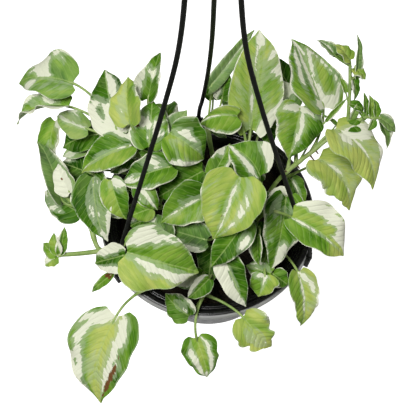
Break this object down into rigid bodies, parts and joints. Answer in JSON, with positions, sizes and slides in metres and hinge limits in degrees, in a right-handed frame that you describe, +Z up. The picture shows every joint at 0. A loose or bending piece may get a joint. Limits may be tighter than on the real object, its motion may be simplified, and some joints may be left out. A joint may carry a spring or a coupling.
{
  "type": "potted variegated pothos in a hanging pot",
  "caption": "Bushy trailing house plant with small green and cream leaves, in a round black hanging pot held by three wires and a hook.",
  "frame": {"origin": "where the hook bears on whatever it hangs from, at the top of the hook's eye", "axes": "+Z up; +Y away from the side that the picture shows; the hook's eye opens along Y"},
  "size_m": [0.3083, 0.2793, 0.5747],
  "materials": {
    "pot_plastic": "glossy black, satin below the bead",
    "potting_mix": "moist, crumbly, dark brown",
    "hanger_plastic": "satin black",
    "foliage": "satin leaves in green, lime and cream"
  },
  "bodies": {
    "root": {"pot": "pot_plastic", "soil": "potting_mix", "hanger_hook": "hanger_plastic", "hanger_leg_back": "hanger_plastic", "hanger_leg_left": "hanger_plastic", "hanger_leg_right": "hanger_plastic", "vine_01": "foliage", "vine_02": "foliage", "vine_03": "foliage", "vine_04": "foliage", "vine_05": "foliage", "vine_06": "foliage", "vine_07": "foliage", "vine_08": "foliage", "vine_09": "foliage", "vine_10": "foliage", "vine_11": "foliage", "vine_12": "foliage", "vine_13": "foliage", "vine_14": "foliage"}
  },
  "joints": []
}
